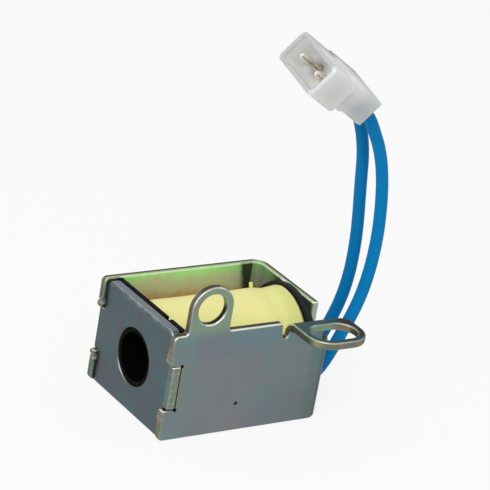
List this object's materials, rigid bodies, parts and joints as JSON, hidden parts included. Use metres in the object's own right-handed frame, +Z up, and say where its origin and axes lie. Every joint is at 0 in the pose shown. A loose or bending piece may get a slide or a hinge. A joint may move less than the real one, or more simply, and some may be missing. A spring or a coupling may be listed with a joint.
{
  "type": "choke solenoid",
  "caption": "Open-frame pull solenoid for an engine choke: bent plated frame with two bolt lugs, taped coil, sliding plunger and a pair of blue leads to a two-way pin connector.",
  "frame": {"origin": "on the standing surface, under the middle of the box around the frame and its lugs", "axes": "+X along the bore from the end plate to the back wall, +Y from the front wall with the lugs to the rear wall, +Z up"},
  "size_m": [0.0619, 0.0434, 0.0871],
  "materials": {
    "plated_steel": "yellow-green zinc plating, satin",
    "plate_steel": "zinc plating, satin",
    "bobbin_plastic": "moulded, matte",
    "copper": "bare or enamelled copper",
    "tape": "pale yellow tape, smooth",
    "sleeving": "woven sleeving",
    "core_steel": "turned, satin",
    "lead_insulation": "smooth soft PVC",
    "nylon": "milky, slightly translucent",
    "pin_metal": "tinned, rolled"
  },
  "bodies": {
    "housing": {"coil_frame": "plated_steel", "end_plate": "plate_steel", "bobbin": "bobbin_plastic", "winding": "copper", "coil_tape": "tape", "splice_tape": "tape", "splice_sleeves": "sleeving", "pole_piece": "core_steel", "lead_left": "lead_insulation", "lead_right": "lead_insulation", "connector_housing": "nylon", "pin_terminal_left": "pin_metal", "pin_terminal_right": "pin_metal", "conductor_left": "copper", "conductor_right": "copper"},
    "plunger": {"plunger": "core_steel"}
  },
  "joints": [
    {"name": "plunger_slide", "type": "slide", "parent": "housing", "child": "plunger", "axis": [-1, 0, 0], "range_m": [0, 0.012]}
  ]
}
